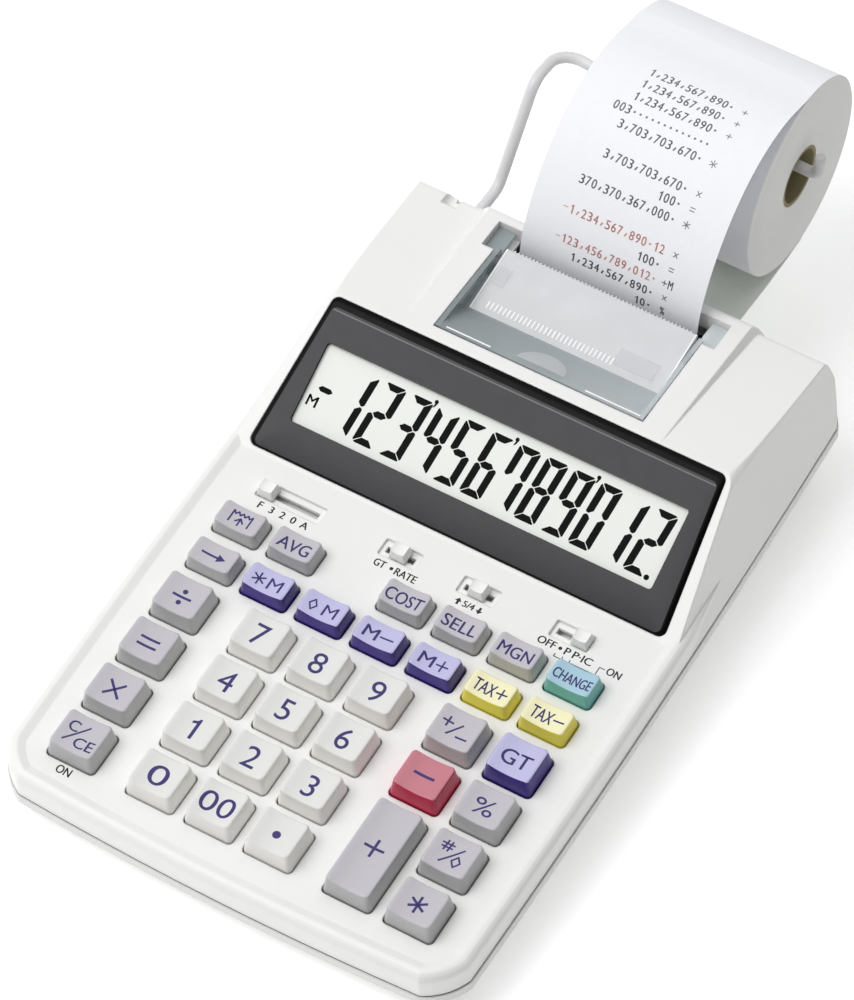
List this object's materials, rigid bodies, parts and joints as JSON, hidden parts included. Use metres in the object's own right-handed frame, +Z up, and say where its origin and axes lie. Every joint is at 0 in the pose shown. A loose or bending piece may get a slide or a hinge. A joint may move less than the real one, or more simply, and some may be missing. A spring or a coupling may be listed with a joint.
{
  "type": "desktop printing calculator",
  "caption": "Desktop printing calculator with a sloping keypad, tilted display window, slide switches, printer well and a paper roll on a folding wire arm.",
  "frame": {"origin": "on the desk, under the middle of the whole object from the front of the case to the back of the paper roll", "axes": "+X to the user's right, +Y from the keypad to the printer at the back, +Z up from the desk"},
  "size_m": [0.148, 0.3014, 0.0879],
  "materials": {
    "case_white": "satin moulded ABS",
    "lower_white": "fine-textured moulded ABS",
    "window_smoke": "polished smoked acrylic",
    "lcd": "liquid crystal glass with a grey-green reflector",
    "cover_smoke": "clear smoked plastic",
    "wire": "coated steel wire",
    "paper": "plain bond paper",
    "paper_shade": "plain bond paper",
    "mechanism": "moulded nylon",
    "platen_rubber": "ground rubber",
    "type_metal": "machined steel",
    "ink_felt": "inked felt",
    "board": "solder mask",
    "mat_rubber": "silicone rubber",
    "cell": "printed metal jacket",
    "foot_rubber": "moulded rubber",
    "screw_steel": "zinc-plated steel",
    "jack_black": "moulded nylon",
    "key_white": "satin keycap",
    "key_grey": "satin keycap",
    "key_indigo": "satin keycap",
    "key_red": "satin keycap",
    "key_yellow": "satin keycap",
    "key_teal": "satin keycap"
  },
  "bodies": {
    "root": {"upper_case": "case_white", "lower_case": "lower_white", "display_window": "window_smoke", "lcd_panel": "lcd", "paper_strip": "paper", "printer_frame": "mechanism", "main_board": "board", "key_mat": "mat_rubber", "batteries": "cell", "rubber_feet": "foot_rubber", "case_screws": "screw_steel", "dc_jack": "jack_black"},
    "paper_arm": {"paper_arm": "wire", "feed_paper": "paper_shade"},
    "paper_roll": {"paper_roll": "paper"},
    "feed_roller": {"feed_roller": "platen_rubber"},
    "print_drum": {"print_drum": "type_metal"},
    "ink_roller": {"ink_roller": "ink_felt"},
    "printer_cover": {"printer_cover": "cover_smoke"},
    "battery_door": {"battery_door": "lower_white"},
    "key_feed": {"key_feed": "key_grey"},
    "key_average": {"key_average": "key_grey"},
    "key_cost": {"key_cost": "key_grey"},
    "key_sell": {"key_sell": "key_grey"},
    "key_margin": {"key_margin": "key_grey"},
    "key_change": {"key_change": "key_teal"},
    "key_shift": {"key_shift": "key_grey"},
    "key_memory_total": {"key_memory_total": "key_indigo"},
    "key_memory_subtotal": {"key_memory_subtotal": "key_indigo"},
    "key_memory_minus": {"key_memory_minus": "key_indigo"},
    "key_memory_plus": {"key_memory_plus": "key_indigo"},
    "key_tax_plus": {"key_tax_plus": "key_yellow"},
    "key_tax_minus": {"key_tax_minus": "key_yellow"},
    "key_divide": {"key_divide": "key_grey"},
    "key_7": {"key_7": "key_white"},
    "key_8": {"key_8": "key_white"},
    "key_9": {"key_9": "key_white"},
    "key_sign": {"key_sign": "key_grey"},
    "key_grand_total": {"key_grand_total": "key_indigo"},
    "key_equals": {"key_equals": "key_grey"},
    "key_4": {"key_4": "key_white"},
    "key_5": {"key_5": "key_white"},
    "key_6": {"key_6": "key_white"},
    "key_minus": {"key_minus": "key_red"},
    "key_percent": {"key_percent": "key_grey"},
    "key_multiply": {"key_multiply": "key_grey"},
    "key_1": {"key_1": "key_white"},
    "key_2": {"key_2": "key_white"},
    "key_3": {"key_3": "key_white"},
    "key_plus": {"key_plus": "key_grey"},
    "key_non_add": {"key_non_add": "key_grey"},
    "key_clear": {"key_clear": "key_grey"},
    "key_0": {"key_0": "key_white"},
    "key_00": {"key_00": "key_white"},
    "key_point": {"key_point": "key_white"},
    "key_total": {"key_total": "key_grey"},
    "knob_decimal": {"knob_decimal": "case_white"},
    "knob_rate": {"knob_rate": "case_white"},
    "knob_rounding": {"knob_rounding": "case_white"},
    "knob_power": {"knob_power": "case_white"}
  },
  "joints": [
    {"name": "arm_fold", "type": "hinge", "parent": "root", "child": "paper_arm", "pos_m": [0, 0.07222, 0.037], "axis": [1, 0, 0], "range_deg": [-24, 0]},
    {"name": "roll_spin", "type": "hinge", "parent": "paper_arm", "child": "paper_roll", "pos_m": [0, 0.12003, 0.0533], "axis": [1, 0, 0], "continuous": true},
    {"name": "feed_roller_turn", "type": "hinge", "parent": "root", "child": "feed_roller", "pos_m": [0, 0.06423, 0.037], "axis": [1, 0, 0], "continuous": true},
    {"name": "print_drum_turn", "type": "hinge", "parent": "root", "child": "print_drum", "pos_m": [0, 0.05332, 0.037], "axis": [1, 0, 0], "continuous": true},
    {"name": "ink_roller_turn", "type": "hinge", "parent": "root", "child": "ink_roller", "pos_m": [0, 0.04133, 0.0356], "axis": [1, 0, 0], "continuous": true},
    {"name": "cover_lift", "type": "slide", "parent": "root", "child": "printer_cover", "axis": [0, 0, 1], "range_m": [0, 0.025]},
    {"name": "battery_door_slide", "type": "slide", "parent": "root", "child": "battery_door", "axis": [0, 1, 0], "range_m": [0, 0.012]},
    {"name": "decimal_switch", "type": "slide", "parent": "root", "child": "knob_decimal", "axis": [1, 0, 0], "range_m": [0, 0.0147]},
    {"name": "rate_switch", "type": "slide", "parent": "root", "child": "knob_rate", "axis": [1, 0, 0], "range_m": [-0.0029, 0.0029]},
    {"name": "rounding_switch", "type": "slide", "parent": "root", "child": "knob_rounding", "axis": [1, 0, 0], "range_m": [-0.0029, 0.0029]},
    {"name": "power_switch", "type": "slide", "parent": "root", "child": "knob_power", "axis": [1, 0, 0], "range_m": [-0.0062, 0]},
    {"name": "press_feed", "type": "slide", "parent": "root", "child": "key_feed", "axis": [0, 0.0698, -0.9976], "range_m": [0, 0.0025], "stiffness_N_per_m": 200, "springref_m": -0.001},
    {"name": "press_average", "type": "slide", "parent": "root", "child": "key_average", "axis": [0, 0.0698, -0.9976], "range_m": [0, 0.0025], "stiffness_N_per_m": 200, "springref_m": -0.001},
    {"name": "press_cost", "type": "slide", "parent": "root", "child": "key_cost", "axis": [0, 0.0698, -0.9976], "range_m": [0, 0.0025], "stiffness_N_per_m": 200, "springref_m": -0.001},
    {"name": "press_sell", "type": "slide", "parent": "root", "child": "key_sell", "axis": [0, 0.0698, -0.9976], "range_m": [0, 0.0025], "stiffness_N_per_m": 200, "springref_m": -0.001},
    {"name": "press_margin", "type": "slide", "parent": "root", "child": "key_margin", "axis": [0, 0.0698, -0.9976], "range_m": [0, 0.0025], "stiffness_N_per_m": 200, "springref_m": -0.001},
    {"name": "press_change", "type": "slide", "parent": "root", "child": "key_change", "axis": [0, 0.0698, -0.9976], "range_m": [0, 0.0025], "stiffness_N_per_m": 200, "springref_m": -0.001},
    {"name": "press_shift", "type": "slide", "parent": "root", "child": "key_shift", "axis": [0, 0.0698, -0.9976], "range_m": [0, 0.0025], "stiffness_N_per_m": 200, "springref_m": -0.001},
    {"name": "press_memory_total", "type": "slide", "parent": "root", "child": "key_memory_total", "axis": [0, 0.0698, -0.9976], "range_m": [0, 0.0025], "stiffness_N_per_m": 200, "springref_m": -0.001},
    {"name": "press_memory_subtotal", "type": "slide", "parent": "root", "child": "key_memory_subtotal", "axis": [0, 0.0698, -0.9976], "range_m": [0, 0.0025], "stiffness_N_per_m": 200, "springref_m": -0.001},
    {"name": "press_memory_minus", "type": "slide", "parent": "root", "child": "key_memory_minus", "axis": [0, 0.0698, -0.9976], "range_m": [0, 0.0025], "stiffness_N_per_m": 200, "springref_m": -0.001},
    {"name": "press_memory_plus", "type": "slide", "parent": "root", "child": "key_memory_plus", "axis": [0, 0.0698, -0.9976], "range_m": [0, 0.0025], "stiffness_N_per_m": 200, "springref_m": -0.001},
    {"name": "press_tax_plus", "type": "slide", "parent": "root", "child": "key_tax_plus", "axis": [0, 0.0698, -0.9976], "range_m": [0, 0.0025], "stiffness_N_per_m": 200, "springref_m": -0.001},
    {"name": "press_tax_minus", "type": "slide", "parent": "root", "child": "key_tax_minus", "axis": [0, 0.0698, -0.9976], "range_m": [0, 0.0025], "stiffness_N_per_m": 200, "springref_m": -0.001},
    {"name": "press_divide", "type": "slide", "parent": "root", "child": "key_divide", "axis": [0, 0.0698, -0.9976], "range_m": [0, 0.0025], "stiffness_N_per_m": 200, "springref_m": -0.001},
    {"name": "press_7", "type": "slide", "parent": "root", "child": "key_7", "axis": [0, 0.0698, -0.9976], "range_m": [0, 0.0025], "stiffness_N_per_m": 200, "springref_m": -0.001},
    {"name": "press_8", "type": "slide", "parent": "root", "child": "key_8", "axis": [0, 0.0698, -0.9976], "range_m": [0, 0.0025], "stiffness_N_per_m": 200, "springref_m": -0.001},
    {"name": "press_9", "type": "slide", "parent": "root", "child": "key_9", "axis": [0, 0.0698, -0.9976], "range_m": [0, 0.0025], "stiffness_N_per_m": 200, "springref_m": -0.001},
    {"name": "press_sign", "type": "slide", "parent": "root", "child": "key_sign", "axis": [0, 0.0698, -0.9976], "range_m": [0, 0.0025], "stiffness_N_per_m": 200, "springref_m": -0.001},
    {"name": "press_grand_total", "type": "slide", "parent": "root", "child": "key_grand_total", "axis": [0, 0.0698, -0.9976], "range_m": [0, 0.0025], "stiffness_N_per_m": 200, "springref_m": -0.001},
    {"name": "press_equals", "type": "slide", "parent": "root", "child": "key_equals", "axis": [0, 0.0698, -0.9976], "range_m": [0, 0.0025], "stiffness_N_per_m": 200, "springref_m": -0.001},
    {"name": "press_4", "type": "slide", "parent": "root", "child": "key_4", "axis": [0, 0.0698, -0.9976], "range_m": [0, 0.0025], "stiffness_N_per_m": 200, "springref_m": -0.001},
    {"name": "press_5", "type": "slide", "parent": "root", "child": "key_5", "axis": [0, 0.0698, -0.9976], "range_m": [0, 0.0025], "stiffness_N_per_m": 200, "springref_m": -0.001},
    {"name": "press_6", "type": "slide", "parent": "root", "child": "key_6", "axis": [0, 0.0698, -0.9976], "range_m": [0, 0.0025], "stiffness_N_per_m": 200, "springref_m": -0.001},
    {"name": "press_minus", "type": "slide", "parent": "root", "child": "key_minus", "axis": [0, 0.0698, -0.9976], "range_m": [0, 0.0025], "stiffness_N_per_m": 200, "springref_m": -0.001},
    {"name": "press_percent", "type": "slide", "parent": "root", "child": "key_percent", "axis": [0, 0.0698, -0.9976], "range_m": [0, 0.0025], "stiffness_N_per_m": 200, "springref_m": -0.001},
    {"name": "press_multiply", "type": "slide", "parent": "root", "child": "key_multiply", "axis": [0, 0.0698, -0.9976], "range_m": [0, 0.0025], "stiffness_N_per_m": 200, "springref_m": -0.001},
    {"name": "press_1", "type": "slide", "parent": "root", "child": "key_1", "axis": [0, 0.0698, -0.9976], "range_m": [0, 0.0025], "stiffness_N_per_m": 200, "springref_m": -0.001},
    {"name": "press_2", "type": "slide", "parent": "root", "child": "key_2", "axis": [0, 0.0698, -0.9976], "range_m": [0, 0.0025], "stiffness_N_per_m": 200, "springref_m": -0.001},
    {"name": "press_3", "type": "slide", "parent": "root", "child": "key_3", "axis": [0, 0.0698, -0.9976], "range_m": [0, 0.0025], "stiffness_N_per_m": 200, "springref_m": -0.001},
    {"name": "press_plus", "type": "slide", "parent": "root", "child": "key_plus", "axis": [0, 0.0698, -0.9976], "range_m": [0, 0.0025], "stiffness_N_per_m": 200, "springref_m": -0.001},
    {"name": "press_non_add", "type": "slide", "parent": "root", "child": "key_non_add", "axis": [0, 0.0698, -0.9976], "range_m": [0, 0.0025], "stiffness_N_per_m": 200, "springref_m": -0.001},
    {"name": "press_clear", "type": "slide", "parent": "root", "child": "key_clear", "axis": [0, 0.0698, -0.9976], "range_m": [0, 0.0025], "stiffness_N_per_m": 200, "springref_m": -0.001},
    {"name": "press_0", "type": "slide", "parent": "root", "child": "key_0", "axis": [0, 0.0698, -0.9976], "range_m": [0, 0.0025], "stiffness_N_per_m": 200, "springref_m": -0.001},
    {"name": "press_00", "type": "slide", "parent": "root", "child": "key_00", "axis": [0, 0.0698, -0.9976], "range_m": [0, 0.0025], "stiffness_N_per_m": 200, "springref_m": -0.001},
    {"name": "press_point", "type": "slide", "parent": "root", "child": "key_point", "axis": [0, 0.0698, -0.9976], "range_m": [0, 0.0025], "stiffness_N_per_m": 200, "springref_m": -0.001},
    {"name": "press_total", "type": "slide", "parent": "root", "child": "key_total", "axis": [0, 0.0698, -0.9976], "range_m": [0, 0.0025], "stiffness_N_per_m": 200, "springref_m": -0.001}
  ],
  "couplings": [
    {"joint": "feed_roller_turn", "follows": "roll_spin", "ratio": 8.8571},
    {"joint": "ink_roller_turn", "follows": "print_drum_turn", "ratio": -1.1111}
  ]
}
